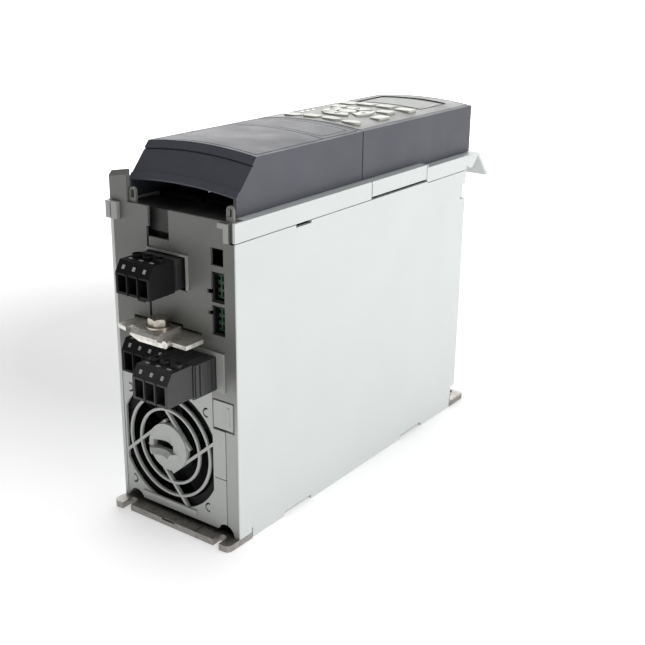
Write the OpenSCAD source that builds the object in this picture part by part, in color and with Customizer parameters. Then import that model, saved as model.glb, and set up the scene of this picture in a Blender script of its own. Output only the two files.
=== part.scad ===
// Book-style variable frequency drive, lying on its mounting plate.
// Frame: X across the width, +Y from the terminal end to the far end, +Z out of the wall.
// The origin is the centre of the mounting face, on the underside of the mounting plate.

/* [Mounting plate] */
// Length of the mounting plate along the wall
plate_l = 268; // [262:1:276]
// Thickness of the mounting plate
plate_t = 4; // [3:0.5:4]
// Distance between the two rows of mounting screws
screw_pitch_y = 257; // [255:0.5:258]
// Distance between the two screws of a row
screw_pitch_x = 70; // [68:0.5:72]
// Diameter of the screw shanks that the slots take
slot_d = 5.5; // [5:0.1:6]
// Diameter of the keyholes' head entry
keyhole_d = 11; // [10:0.1:12]

/* [Body] */
// Width of the drive
body_w = 90; // [89:0.5:92]
// Depth of the drive from the wall to the crown of its front
total_h = 218; // [217.5:0.5:220]
// Rise of the crowned front above its side edges
crown_h = 2.7; // [2.5:0.1:3.2]
// Wall of the light covers
wall = 2.5; // [2.2:0.1:2.8]
// Thickness of the end panel and of the fan module's face
face_t = 1.6; // [1.4:0.1:2]
// Height of the seam between the side covers and the front frame
seam_z = 175.5; // [175:0.5:176]
// Height of the ledge that the dark covers stand on
ledge_z = 186; // [185:0.5:187]
// Width of that ledge beside the dark covers
ledge_w = 6.5; // [6:0.5:7]

/* [Dark covers] */
// Wall of the dark covers
cover_t = 2; // [1.6:0.1:2.2]
// Length of the sloped nose of the terminal cover, along Y
slope_l = 16.5; // [15:0.5:18]
// Height of the open mouth under the nose
mouth_h = 10.5; // [9:0.5:11]

/* [Cooling fan] */
// Side of the square fan
fan_w = 70; // [66:1:72]
// Radius of the aperture in the fan module's face
aperture_r = 37.5; // [36:0.5:38]
// Radius of the outer guard ring
ring_out_r = 30.5; // [30:0.1:32]
// Radius of the inner guard ring
ring_in_r = 22.6; // [22:0.1:25]
// Radius of the finger-grip hub
hub_r = 14.3; // [14:0.1:15]
// Number of fan blades
blade_n = 7; // [5:1:9]

/* [Keys] */
// Travel of a key
key_travel = 0.8; // [0.5:0.1:1]
// Height of the key caps above the panel
key_rise = 0.9; // [0.8:0.1:1.4]
// Gap between a key and its hole
key_gap = 0.25; // [0.2:0.05:0.4]

/* [Hidden] */
KEY_NAMES = [
    "menu_key_1", "menu_key_2", "menu_key_3", "menu_key_4", "back_key", "cancel_key", "info_key",
    "ok_key", "up_key", "down_key", "left_key", "right_key", "mode_key_1", "mode_key_2",
    "mode_key_3", "mode_key_4"
];

$fn = 48;
ARC_FN = 360;      // facets of the large crown arcs
EPS = 0.01;
GAP = 0.2;         // assembly gap between neighbouring covers
BIG = 400;

// colours
light_grey = [0.80, 0.82, 0.80];
face_grey = [0.52, 0.53, 0.50];
guard_grey = [0.62, 0.64, 0.63];
cover_grey = [0.33, 0.34, 0.37];
panel_grey = [0.60, 0.61, 0.57];
key_white = [0.90, 0.91, 0.86];
plug_black = [0.10, 0.10, 0.11];
board_green = [0.10, 0.30, 0.16];
plug_green = [0.15, 0.50, 0.25];
steel = [0.62, 0.60, 0.57];
alu = [0.70, 0.69, 0.67];

// outer planes
half_w = body_w / 2;
in_x = half_w - wall;
near_y = -plate_l / 2 + 10;
far_y = plate_l / 2 - 16;
cover_hw = half_w - ledge_w;
cover_y = near_y + 9;
slope_y = cover_y + slope_l;
edge_z = total_h - crown_h;
lip_z = ledge_z + mouth_h;
cradle_y = far_y + 14;
frame_t = 1.6;          // outer wall of the front frame
rebate_t = 0.7;         // lip of the right cover beside the end panel
ledge_step = 2;         // the ledge is lower behind the frame clips
clip_y = [1, 65.5];
skirt_y = [near_y + 11.4, far_y - 6];
skirt_z = 0.4;          // lower edge of the side covers
arc_r = (cover_hw * cover_hw + crown_h * crown_h) / (2 * crown_h);
slope_a = atan2(edge_z - lip_z, slope_l);
slope_crown = crown_h * cos(slope_a);
slope_arc_r = (cover_hw * cover_hw + slope_crown * slope_crown) / (2 * slope_crown);
far_screw_z = [96, 146];

// mounting slots
near_seat_y = -plate_l / 2 + 9 - slot_d / 2;
far_seat_y = near_seat_y + screw_pitch_y;
keyhole_y = far_seat_y - 8;
screw_x = screw_pitch_x / 2;

// control panel
pocket_hw = cover_hw - 3.1;
pocket_y1 = cradle_y - 1.3;
floor_z = 197;
panel_hw = pocket_hw - 0.5;
panel_y0 = 1.2;
panel_y1 = pocket_y1 - 0.5;
panel_z0 = floor_z + 0.3;
panel_t = 2.2;
board_z = 207;
board_hole_y = [10, 78];
window = [52, 34];
window_y = 102.5;
key_cols = [-21.8, -7.2, 7.2, 21.8];
menu_y = 73;
mode_y = 11.6;
ring_y = 39.6;
ok_r = 5.6;
arrow_r0 = 7.6;
arrow_r1 = 16.6;
arrow_span = 72;
// name, middle and size of the keys beside the ring
side_keys = [
    ["back_key", [-17.8, 56], [10, 9.4]], ["cancel_key", [17.8, 56], [10, 9.4]],
    ["info_key", [25.2, 38.2], [8, 12.6]]
];

// terminal end
sink_z1 = 88;
sink_y0 = near_y + 30;
mains = [-16.5, 8, 143.8, 161.7];      // x0, x1, z0, z1
motor = [5.8, 30.6, 93.8, 112.2];
brake = [-28, 5.2, 92.6, 111.4];
mains_front_y = near_y - 25;
motor_front_y = near_y - 38;
motor_back_y = near_y - 19;
brake_front_y = near_y - 13;
pole_pitch = 7.62;
rake_d = 3.8;           // depth of the raked band of a plug
turret_h = 1.8;
turret_d = 12.6;        // from a plug's front to its screws
brake_turret_d = 9;
clamp_z = 121;
clamp_t = 2.3;
pad_t = 2;              // height of the raised pad of the clamp
clamp_y = near_y - 17.8;
washer_t = 1.4;
bolt_x = -2.5;
bolt_y = near_y - 8.6;
port_x = [28.2, 37.2];
relay_z = [[141.5, 158.3], [123.3, 139.8]];
service_z = [161.7, 171.2];

// fan module
fan_x = -7;
fan_z = 46.4;
fan_d = 25;
guard_x0 = -in_x + 0.7;
guard_x1 = 35.7;
guard_z = [plate_t + 2, 89.3];
latch_x = [27, 41.8];
latch_z = [68.6, 85.8];
hinge_x = latch_x[0] + 1;
rotor_y0 = near_y + 4.5;
rotor_d = 17;
fan_pin_d = 29.5;        // pins of the guard, from the fan's axis
fan_pin_r = 1.4;
shaft_r = 1.5;

// ---- helpers -------------------------------------------------------------

function crown_z(x) = total_h - arc_r + sqrt(arc_r * arc_r - x * x);

module block(x0, x1, y0, y1, z0, z1) {
    translate([x0, y0, z0]) cube([x1 - x0, y1 - y0, z1 - z0]);
}

// a shape drawn in X and Z, pulled along Y from y0
module pull_y(y0, len) {
    translate([0, y0 + len, 0]) rotate([90, 0, 0]) linear_extrude(len) children();
}

// a shape drawn in Y and Z, pulled along X from x0
module pull_x(x0, len) {
    translate([x0, 0, 0]) rotate([90, 0, 90]) linear_extrude(len) children();
}

module plate2(a0, a1, b0, b1) {
    translate([a0, b0]) square([a1 - a0, b1 - b0]);
}

module round_rect(w, h, r) {
    square([w - 2 * r, h], center = true);
    square([w, h - 2 * r], center = true);
    for (sx = [-1, 1], sy = [-1, 1])
        translate([sx * (w / 2 - r), sy * (h / 2 - r)]) circle(r);
}

// everything under a crowned surface whose highest line is at top_z
module arch(top_z, hw, z0) {
    intersection() {
        translate([0, top_z - arc_r]) circle(arc_r, $fn = ARC_FN);
        plate2(-hw, hw, z0, top_z + 1);
    }
}

// everything under the sloped nose, which has the same crown
module under_slope(inset) {
    translate([0, cover_y, lip_z]) rotate([slope_a, 0, 0]) translate([0, 0, -inset])
        pull_y(-BIG / 2, BIG) intersection() {
            translate([0, slope_crown - slope_arc_r]) circle(slope_arc_r, $fn = ARC_FN);
            plate2(-half_w, half_w, -BIG / 2, slope_crown + 1);
        }
}

// a shallow groove cut in the crowned top, where a plan shape is drawn
module top_groove(depth) {
    difference() {
        translate([0, 0, edge_z - 10]) linear_extrude(30) children();
        pull_y(-BIG / 2, BIG) arch(total_h - depth, half_w, 0);
    }
}

// ---- frame and covers ----------------------------------------------------

module screw_slot(sx) {
    translate([sx * screw_x - slot_d / 2, near_seat_y - 20]) square([slot_d, 20]);
    translate([sx * screw_x, near_seat_y]) circle(slot_d / 2);
}

module screw_keyhole(sx) {
    translate([sx * screw_x, keyhole_y]) circle(keyhole_d / 2);
    translate([sx * screw_x, far_seat_y]) circle(slot_d / 2);
    translate([sx * screw_x - slot_d / 2, keyhole_y]) square([slot_d, far_seat_y - keyhole_y]);
}

module base_plate() {
    color(alu) difference() {
        linear_extrude(plate_t) difference() {
            round_rect(body_w, plate_l, 3.4);
            for (sx = [-1, 1]) {
                screw_slot(sx);
                screw_keyhole(sx);
            }
            // middle of the flange stands back from the lugs
            translate([-screw_x + slot_d / 2, -plate_l / 2 - 1]) square([2 * screw_x - slot_d, 2.5]);
            // the side covers hang beside the plate, between its end lugs
            for (sx = [-1, 1]) translate([sx * (in_x + 9.8), (skirt_y[0] + skirt_y[1]) / 2])
                square([20, skirt_y[1] - skirt_y[0] + 1.2], center = true);
            // far edge between the keyhole lugs
            translate([-screw_x + 10, plate_l / 2 - 9]) square([2 * screw_x - 20, 10]);
        }
        // shallow notch and bend line of the flange
        block(-7, 3, -plate_l / 2, -plate_l / 2 + 2.6, plate_t - 1.2, plate_t + 1);
        block(18, 18.8, -plate_l / 2, near_y + 1, plate_t - 0.5, plate_t + 1);
    }
}

module heat_sink() {
    fin_n = 10;
    fin_t = 2.2;
    sink_hw = in_x - 2.5;
    fin_step = (2 * sink_hw - fin_t) / (fin_n - 1);
    color(alu) difference() {
        pull_y(sink_y0, far_y - wall - 4 - sink_y0) union() {
            plate2(-sink_hw, sink_hw, sink_z1 - 8, sink_z1);
            for (i = [0:fin_n - 1])
                plate2(-sink_hw + i * fin_step, -sink_hw + i * fin_step + fin_t,
                       plate_t, sink_z1 - 7);
        }
        // tapped holes of the power module
        for (y = [10, 60]) translate([0, y, sink_z1 - 6]) cylinder(h = 8, r = 1.6);
    }
}

module side_cover(slot) {
    color(light_grey) union() {
        difference() {
            pull_x(in_x, wall) difference() {
                union() {
                    plate2(near_y, far_y, plate_t, seam_z - 0.5);
                    plate2(skirt_y[0], skirt_y[1], skirt_z, plate_t + EPS);
                }
                // notches in the lower edge
                for (y = [near_y + 40, near_y + 169]) plate2(y, y + 27, -1, skirt_z + 2.6);
                plate2(skirt_y[0] - 0.8, skirt_y[0], plate_t - 1, plate_t + 3);
                // access to the keyhole and window of the far snap hook
                plate2(far_y - 6, far_y + 1, plate_t - 1, plate_t + 12);
                plate2(far_y - 6.5, far_y + 1, 155, 165);
                plate2(clip_y[1] + 1, far_y + 1, seam_z - 0.5 - ledge_step / 2, seam_z);
                if (slot) plate2(near_y + 51, near_y + 65, seam_z - 2, seam_z);
            }
            // chamfer along the near edge
            translate([half_w, near_y, 0]) rotate(45) cube([0.4, 0.4, BIG], center = true);
            // rebate that takes the edge of the end panel
            if (slot) block(in_x - 1, half_w - rebate_t, near_y - 1, near_y + face_t + 0.1, 0, seam_z);
        }
        // screw bosses for the far panel
        for (z = far_screw_z) difference() {
            block(in_x - 6.5, in_x + EPS, far_y - wall - 12, far_y - wall, z - 4, z + 4);
            translate([in_x - 4, far_y, z]) rotate([90, 0, 0]) cylinder(h = 30, r = 1.45);
        }
    }
}

module right_side_cover() side_cover(true);

module left_side_cover() mirror([1, 0, 0]) side_cover(false);

module face_openings() {
    // fan module with its latch, and connectors
    plate2(-half_w, guard_x1 + 0.6, 0, latch_z[0] + 0.4);
    plate2(-half_w, latch_x[0] + 0.1, 0, guard_z[1] + 0.4);
    plate2(latch_x[0], guard_x1 + 0.6, latch_z[0] - 0.6, latch_z[1] + 0.6);
    plate2(-29, 31.6, brake[2] - 0.7, motor[3] - 0.2);
    plate2(mains[0] - 0.5, mains[1] + 3.2, mains[2] - 0.4, mains[3] + 0.9);
    // ports of the right column, each relay port with its latch notch
    plate2(port_x[0], port_x[1] - 0.4, service_z[0], service_z[1]);
    for (z = relay_z) plate2(port_x[0], port_x[1], z[0], z[1]);
    plate2(port_x[0] - 3, port_x[0] + 1, 146, 148.4);
    plate2(port_x[0] - 2.6, port_x[0] + 1, 134.3, 136.4);
    // cable slot and the seam below it
    plate2(-16, -1, 169.4, ledge_z + 20);
    plate2(-17.4, -15.9, clamp_z, 175);
    // head room of the mounting screw
    translate([screw_x, plate_t]) circle(6);
    // slot of the clamp plate
    plate2(-29.8, 20.4, clamp_z - clamp_t - 0.2, clamp_z + 1.2);
    plate2(-16.6, 7, clamp_z, clamp_z + pad_t + 1);
}

module eyelet(x) {
    translate([x, near_y + 3, ledge_z]) rotate([90, 0, 0]) linear_extrude(1.6)
        difference() {
            union() {
                translate([0, 6]) circle(2.35);
                plate2(-2.35, 2.35, -1.5, 6);
            }
            translate([0, 6]) circle(1.2);
            plate2(-1.2, 1.2, 2.6, 6);
        }
}

module end_panel() {
    post_x = -31.2;
    post_z = lip_z + 1.8;
    color(face_grey) union() {
        difference() {
            pull_y(near_y, face_t) difference() {
                plate2(-in_x + 0.1, half_w - rebate_t - 0.1, plate_t, ledge_z);
                face_openings();
                // the frame's thin end stands beside the right clip
                plate2(41, half_w, seam_z - 1, ledge_z + 1);
            }
            // opening of the fan latch
            block(guard_x1, latch_x[1] + 0.7, near_y - 1, near_y + BIG, latch_z[0] - 0.6,
                  latch_z[1] + 0.6);
        }
        eyelet(-28.2);
        eyelet(40.6);
        // foot of the right eyelet, a recessed strip beside the clip
        block(38, 43.1, near_y + 1.4, near_y + 3, seam_z - 0.3, ledge_z);
        // rail that bridges the latch's opening
        block(38.6, in_x - 0.1, near_y + 1.4, near_y + 3, latch_z[0] - 3.6, latch_z[1] + 3.6);
        // corner post, with a slanted top
        difference() {
            block(-half_w, post_x, near_y, near_y + 3, ledge_z + GAP, lip_z + 10);
            translate([-half_w, near_y, post_z]) rotate([42.4, -10.7, 0]) translate([-50, -50, 0])
                cube(100);
            translate([-half_w, near_y, 0]) rotate(45) cube([1, 1, BIG * 2], center = true);
        }
        block(-in_x + 0.1, post_x, near_y, near_y + 2.4, ledge_z - 3, ledge_z + GAP + EPS);
        // corner clips
        difference() {
            union() {
                block(-half_w, -36.5, near_y - 3, near_y - 0.1, 176, 185.6);
                block(-in_x + 0.3, -36.5, near_y - 1, near_y + EPS, 176, 185.6);
            }
            block(-41.6, -40.8, near_y - 3.1, near_y - 2.2, 170, 190);
        }
        block(34.6, 41, near_y - 1.8, near_y + EPS, 182.8, 185.4);
        block(38.4, 41, near_y - 1.8, near_y + EPS, 175.4, 183);
        // rims around the connector recesses
        rim_x = mains[1] + 3.2;
        rim_z = mains[3] + 0.9;
        block(-17, rim_x + 1.6, near_y - 1.2, near_y + EPS, rim_z, rim_z + 1.2);
        block(rim_x, rim_x + 1.6, near_y - 1.2, near_y + EPS, mains[2] + 0.6, rim_z + 1);
        block(31.6, 36.8, near_y - 1.4, near_y + EPS, brake[2] - 1, motor[3] + 1.8);
        block(14, 33, near_y - 1.4, near_y + EPS, motor[3] - 0.6, motor[3] + 1.8);
    }
}

module far_end_panel() {
    vent_n = 6;
    color(light_grey) union() {
        pull_y(far_y - wall, wall) difference() {
            plate2(-in_x + 0.1, in_x - 0.1, plate_t, seam_z - 0.5);
            // outlet of the heat sink, between upright bars
            for (i = [0:4]) plate2(-35 + i * 14.4, -35 + i * 14.4 + 12.4, 18, 80);
            // vents above it
            for (i = [0:vent_n - 1]) plate2(-28, 28, 104 + i * 9, 104 + i * 9 + 4.6);
            for (sx = [-1, 1]) {
                translate([sx * screw_x, plate_t]) circle(7);
                for (z = far_screw_z) translate([sx * (in_x - 4), z]) circle(1.6);
            }
        }
        // snap hooks that show in the windows of the side covers
        for (sx = [-1, 1])
            translate([sx * (in_x + 0.4), far_y - 3.4, 160])
                cube([1.6, 3.6, 8], center = true);
    }
}

module far_panel_screws() {
    color(steel) for (sx = [-1, 1], z = far_screw_z)
        translate([sx * (in_x - 4), far_y, z]) rotate([-90, 0, 0]) difference() {
            union() {
                cylinder(h = 1.8, r = 2.8);
                translate([0, 0, -9]) cylinder(h = 9 + EPS, r = 1.4);
            }
            for (a = [0, 90]) rotate(a) translate([0, 0, 1.6]) cube([3.4, 0.7, 1.4], center = true);
        }
}

// profile of a frame bar in X and Z: an outer wall, a ledge and an inner lip
module frame_bar2(drop) {
    plate2(half_w - frame_t, half_w, seam_z - drop / 2, ledge_z - drop);
    plate2(half_w - ledge_w - 0.9, half_w, ledge_z - drop - 2, ledge_z - drop);
    plate2(half_w - ledge_w - 0.9, half_w - ledge_w + 0.7, seam_z + 3, ledge_z - drop);
}

module front_frame() {
    color(light_grey) {
        for (sx = [-1, 1]) mirror([sx < 0 ? 1 : 0, 0, 0]) difference() {
            union() {
                pull_y(near_y, clip_y[1] + 1 - near_y) frame_bar2(0);
                pull_y(clip_y[1] + 1 - EPS, far_y - clip_y[1] - 1 + EPS) frame_bar2(ledge_step);
            }
            // the eyelets and the post need the near corner
            block(0, sx < 0 ? in_x + 0.1 : half_w - frame_t, near_y - 1, cover_y - 0.2,
                  seam_z - 1, ledge_z + 1);
            // gap for the frame clip
            block(half_w - frame_t - 0.2, half_w + 1, clip_y[0], clip_y[1], seam_z - 1, ledge_z + 1);
        }
        block(-cover_hw - 0.5, cover_hw + 0.5, far_y - 2, far_y, seam_z, ledge_z - ledge_step);
    }
}

module frame_clips() {
    color(light_grey) for (sx = [-1, 1]) mirror([sx < 0 ? 1 : 0, 0, 0])
        block(half_w - frame_t, half_w, clip_y[0] + 0.8, clip_y[1] - 0.8, seam_z + 1.3, ledge_z);
}

module exhaust_hood() {
    root_z = ledge_z - ledge_step - GAP;
    tip_y = far_y + 32;
    bend_y = far_y + 17;
    color(light_grey) union() {
        pull_x(-half_w, body_w) polygon([
            [far_y, root_z - 2.2], [far_y, root_z], [bend_y, root_z],
            [tip_y, root_z - 16.5], [tip_y - 2.2, root_z - 18], [bend_y - 0.8, root_z - 2.2]
        ]);
        for (x = [-half_w, half_w - 1.8]) pull_x(x, 1.8) polygon([
            [far_y, root_z], [bend_y, root_z], [far_y + 9, root_z - 8.5], [far_y + 6, root_z - 9.2],
            [far_y, root_z - 6]
        ]);
    }
}

// ---- dark covers ---------------------------------------------------------

// what a recess takes from the nose between two heights at its side edges
module nose_band(z0, z1, depth) {
    difference() {
        difference() {
            pull_y(cover_y - 5, slope_l + 5) arch(z1 + crown_h, half_w, edge_z - 60);
            pull_y(cover_y - 6, slope_l + 7) arch(z0 + crown_h, half_w + 1, edge_z - 70);
        }
        under_slope(depth);
    }
}

module terminal_cover() {
    end_y = -0.4;
    color(cover_grey) difference() {
        intersection() {
            pull_y(cover_y, end_y - cover_y) arch(total_h, cover_hw, ledge_z + GAP);
            under_slope(0);
        }
        intersection() {
            pull_y(cover_y - 5, end_y - cover_t - cover_y + 5)
                arch(total_h - cover_t, cover_hw - cover_t, 0);
            under_slope(cover_t);
        }
        // shallow recess across the nose, with a fine line along its upper edge
        nose_band(lip_z + 3, edge_z - 4, 0.45);
        nose_band(edge_z - 4.8, edge_z - 4, 0.9);
        // the nose ends in a thin lip over the mouth
        pull_y(cover_y - 1, 5) arch(lip_z + crown_h - 0.8, cover_hw - cover_t, 0);
        // inset outline of the top and the blank name field
        top_groove(0.5) {
            difference() {
                plate2(-cover_hw + 2.2, cover_hw - 2.2, slope_y + 2.4, -2.4);
                plate2(-cover_hw + 2.9, cover_hw - 2.9, slope_y + 3.1, -36.8);
                plate2(-cover_hw + 2.9, cover_hw - 2.9, -36, -3.1);
            }
            translate([0, -20]) difference() {
                round_rect(65, 26, 2.5);
                round_rect(63.8, 24.8, 1.9);
            }
        }
    }
}

module panel_cradle() {
    step_y = clip_y[1] + 1 + GAP;
    color(cover_grey) difference() {
        union() {
            pull_y(0.4, cradle_y - 0.4) arch(total_h, cover_hw, ledge_z + GAP);
            pull_y(step_y, cradle_y - step_y)
                plate2(-cover_hw, cover_hw, ledge_z + GAP - ledge_step, ledge_z + 1);
        }
        // pocket of the control panel, open towards the terminal cover
        block(-pocket_hw, pocket_hw, -1, pocket_y1, floor_z, BIG);
        // space under the floor
        block(-cover_hw + 2, cover_hw - 2, 2.6, far_y - 6, 0, floor_z - 2.4);
        // opening of the panel's plug
        block(-12, 12, 20, 30, 0, BIG);
    }
}

// ---- control panel -------------------------------------------------------

module arrow2(a, grow) {
    rotate(a) intersection() {
        difference() {
            circle(arrow_r1 + grow);
            circle(arrow_r0 - grow);
        }
        polygon([
            [-grow * 1.6, 0], [30 * cos(arrow_span / 2), 30 * sin(arrow_span / 2) + grow],
            [30, 0], [30 * cos(arrow_span / 2), -30 * sin(arrow_span / 2) - grow]
        ]);
    }
}

module key2(name, grow) {
    col = search([name], ["menu_key_1", "menu_key_2", "menu_key_3", "menu_key_4"])[0];
    mode = search([name], ["mode_key_1", "mode_key_2", "mode_key_3", "mode_key_4"])[0];
    arrow = search([name], ["right_key", "up_key", "left_key", "down_key"])[0];
    if (is_num(col)) translate([key_cols[col], menu_y])
        round_rect(12 + 2 * grow, 9 + 2 * grow, 1.5 + grow);
    if (is_num(mode)) translate([key_cols[mode], mode_y])
        round_rect(12.4 + 2 * grow, 7.6 + 2 * grow, 3.79 + grow);
    if (is_num(arrow)) translate([0, ring_y]) arrow2(arrow * 90, grow);
    if (name == "ok_key") translate([0, ring_y]) circle(ok_r + grow);
    for (k = side_keys) if (name == k[0]) translate(k[1])
        round_rect(k[2][0] + 2 * grow, k[2][1] + 2 * grow, 1.8 + grow);
}

// middle of a key, and its outer edge in x, which sets the height of its flange
function key_mid(name) =
    let (side = search([name], side_keys)[0],
         digit = ord(name[len(name) - 1]) - ord("1"))
    is_num(side) ? side_keys[side][1]
    : name == "up_key" ? [0, ring_y + 12]
    : name == "down_key" ? [0, ring_y - 12]
    : name == "left_key" ? [-12, ring_y]
    : name == "right_key" ? [12, ring_y]
    : name == "ok_key" ? [0, ring_y]
    : [key_cols[digit], name[1] == "e" ? menu_y : mode_y];

function key_far_x(name) =
    name == "up_key" || name == "down_key" ? 11
    : name == "ok_key" ? 7 : abs(key_mid(name)[0]) + 8;

module key(name) {
    flange_z = crown_z(key_far_x(name)) - panel_t - 0.4;
    mid = key_mid(name);
    color(key_white) union() {
        translate([0, 0, flange_z - EPS])
            linear_extrude(crown_z(mid[0]) + key_rise - flange_z) key2(name, 0);
        translate([0, 0, flange_z - 1]) linear_extrude(1) key2(name, 0.6);
        translate([mid[0], mid[1], board_z + 1.6 + key_travel + 0.1])
            cylinder(h = flange_z - board_z - 2.6 - key_travel, r = 1.8);
    }
}

module control_panel() {
    color(panel_grey) difference() {
        union() {
            difference() {
                pull_y(panel_y0, panel_y1 - panel_y0) arch(total_h, panel_hw, panel_z0);
                pull_y(panel_y0 + 2, panel_y1 - panel_y0 - 4)
                    arch(total_h - panel_t, panel_hw - 2, panel_z0 + 2);
            }
            // posts that carry the board
            for (y = board_hole_y) translate([0, y, panel_z0 + 1])
                cylinder(h = board_z - panel_z0 - 1, r = 3.2);
        }
        for (name = KEY_NAMES) translate([0, 0, edge_z - 10]) linear_extrude(30)
            key2(name, key_gap);
        translate([0, window_y, edge_z - 10]) linear_extrude(30) square(window, center = true);
        for (i = [0:2]) translate([-27, 28 + i * 6, 200]) cylinder(h = 30, r = 1.5);
        // socket in the back
        block(-9, 9, 22, 28, 0, 205);
    }
}

module display_window() {
    color([0.75, 0.78, 0.76]) pull_y(window_y - window[1] / 2 + 0.2, window[1] - 0.4)
        difference() {
            arch(total_h - 0.5, window[0] / 2 - 0.2, edge_z - 2);
            arch(total_h - 2, half_w, 0);
        }
}

module display_module() {
    color([0.35, 0.40, 0.36]) block(-28, 28, window_y - 19, window_y + 19, board_z + 1.6,
                                    board_z + 6);
}

module panel_board() {
    color(board_green) difference() {
        block(-panel_hw + 3, panel_hw - 3, panel_y0 + 3, panel_y1 - 3, board_z, board_z + 1.6);
        for (y = board_hole_y) translate([0, y, 0]) cylinder(h = BIG, r = 1.6);
    }
}

module status_leds() {
    color([0.85, 0.75, 0.35]) for (i = [0:2])
        translate([-27, 28 + i * 6, board_z + 1.6])
            cylinder(h = crown_z(27) + 0.3 - board_z - 1.6, r = 1.35);
}

// ---- inside --------------------------------------------------------------

module control_deck() {
    deck_z = 170;
    color(plug_black) union() {
        difference() {
            block(-in_x + 0.4, in_x - 0.4, near_y + 8, far_y - wall - 13, deck_z - 2.5, deck_z);
            for (x = [-22, 10]) block(x, x + 12, -20, 60, 0, BIG);
        }
        // stepped shroud behind the terminal end's upper edge, with a shelf over it
        block(-18, 37, near_y + 8, near_y + 9.5, deck_z - 2.5, 173.5);
        block(-18, 37, near_y + 4.4, near_y + 9.5, 172, 173.5);
        block(-18, 37, near_y + 4.4, near_y + 6, 172, 184.6);
        block(-37, 1.8, near_y + 4.4, near_y + 26, 183, 184.6);
        pull_x(1.7, 34.6) polygon([
            [near_y + 3, 184], [near_y + 3, 185.6], [near_y + 24, 186.4], [near_y + 24, 184.6],
            [near_y + 5, 183]
        ]);
        for (y = [-60, 20, 95], sx = [-1, 1])
            translate([sx * 32, y, deck_z - EPS]) cylinder(h = 6, r = 3);
    }
}

module control_card() {
    color(board_green) difference() {
        block(-35.5, 35.5, near_y + 26, far_y - 8, 176 - EPS, 177.6);
        for (y = [-60, 20, 95], sx = [-1, 1]) translate([sx * 32, y, 0]) cylinder(h = BIG, r = 1.5);
    }
}

module control_terminals() {
    z0 = 177.6;
    color([0.16, 0.16, 0.17]) for (x = [-33, 2]) difference() {
        block(x, x + 31, near_y + 27, near_y + 40, z0, z0 + 10);
        for (i = [0:5]) block(x + 2 + i * 4.8, x + 4.8 + i * 4.8, near_y + 26, near_y + 34,
                              z0 + 1.5, z0 + 4.5);
        for (i = [0:5]) translate([x + 3.4 + i * 4.8, near_y + 35, z0 + 6])
            cylinder(h = 12, r = 1.6);
    }
}

module power_board() {
    color(board_green) difference() {
        block(-39, 39, near_y + 18, far_y - wall - 13, 104, 105.6);
        for (y = [-90, 90], sx = [-1, 1]) translate([sx * 34, y, 0]) cylinder(h = BIG, r = 1.8);
    }
}

module power_module() {
    color([0.12, 0.12, 0.13]) difference() {
        block(-30, 30, -5, 75, sink_z1, 104);
        for (y = [10, 60]) translate([0, y, 0]) cylinder(h = BIG, r = 1.8);
    }
}

module dc_capacitors() {
    color([0.15, 0.17, 0.24]) for (y = [-20, 14, 48, 82])
        translate([y > 0 ? -20 : -18, y, 105.6]) {
            cylinder(h = 45, r = 14.5);
            translate([0, 0, 44.9]) cylinder(h = 1.2, r = 12);
        }
}

module filter_choke() {
    color([0.55, 0.36, 0.18]) translate([20, 20, 105.6 + 17]) rotate([90, 0, 0])
        difference() {
            union() {
                cylinder(h = 18, r = 17, center = true);
                for (a = [0:30:330]) rotate(a) translate([13, 0, 0])
                    cylinder(h = 20, r = 2.2, center = true);
            }
            cylinder(h = 30, r = 8, center = true);
        }
}

// ---- connectors ----------------------------------------------------------

// an open shroud whose mouth faces -Y
module socket_shroud(p, y_mouth, y_back, mouth_d) {
    color([0.13, 0.13, 0.14]) difference() {
        block(p[0], p[1], y_mouth, y_back, p[2], p[3]);
        block(p[0] + 1.5, p[1] - 1.5, y_mouth - 1, y_mouth + mouth_d, p[2] + 2, p[3] - 3);
    }
}

// centre of a pole of a plug
function pole_x(p, i, n) = (p[0] + p[1]) / 2 + (i - (n - 1) / 2) * pole_pitch;

// a screw plug: a body with a raked upper front, wire entries, screw turrets and a tongue
module screw_plug(p, y_front, y_back, n, face_h, tongue, turret_d) {
    turret_y = y_front + turret_d;
    rake_z = p[2] + face_h;
    rake_a = atan2(p[3] - rake_z, rake_d);
    color(plug_black) difference() {
        union() {
            pull_x(p[0], p[1] - p[0]) polygon([
                [y_front, p[2]], [y_front, rake_z], [y_front + rake_d, p[3]], [y_back, p[3]],
                [y_back, p[2]]
            ]);
            block(p[0] + 2, p[1] - 2, y_back - EPS, y_back + tongue, p[2] + 3.4, p[3] - 5);
            for (i = [0:n - 1]) translate([pole_x(p, i, n), turret_y, p[3] - EPS])
                cylinder(h = turret_h, r = 3.2);
            // ribs between the poles
            for (i = [0:n - 2]) block(pole_x(p, i, n) + pole_pitch / 2 - 0.4,
                pole_x(p, i, n) + pole_pitch / 2 + 0.4, y_front - 0.5, y_front + EPS,
                p[2], rake_z);
        }
        for (i = [0:n - 1]) {
            x = pole_x(p, i, n);
            block(x - 3, x + 3, y_front - 1, y_front + 8, p[2] + 1.4, rake_z - 1);
            // well of the screw
            translate([x, turret_y, p[3] - 4]) cylinder(h = 8, r = 2.4);
            // grip marks on the raked band
            translate([x, y_front + rake_d / 2, (rake_z + p[3]) / 2]) rotate([rake_a, 0, 0])
                cube([2.4, 2.8, 0.8], center = true);
        }
    }
}

module plug_screws(p, y_front, n, turret_d) {
    color(steel) for (i = [0:n - 1])
        translate([pole_x(p, i, n), y_front + turret_d, p[3] - 4]) difference() {
            cylinder(h = 4.6, r = 2.35);
            translate([0, 0, 4.4]) cube([5, 0.8, 1.2], center = true);
        }
}

module mains_socket()
    socket_shroud([mains[0], mains[1], mains[2] + 0.8, mains[3]], near_y - 6, near_y + 14, 11);

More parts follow.
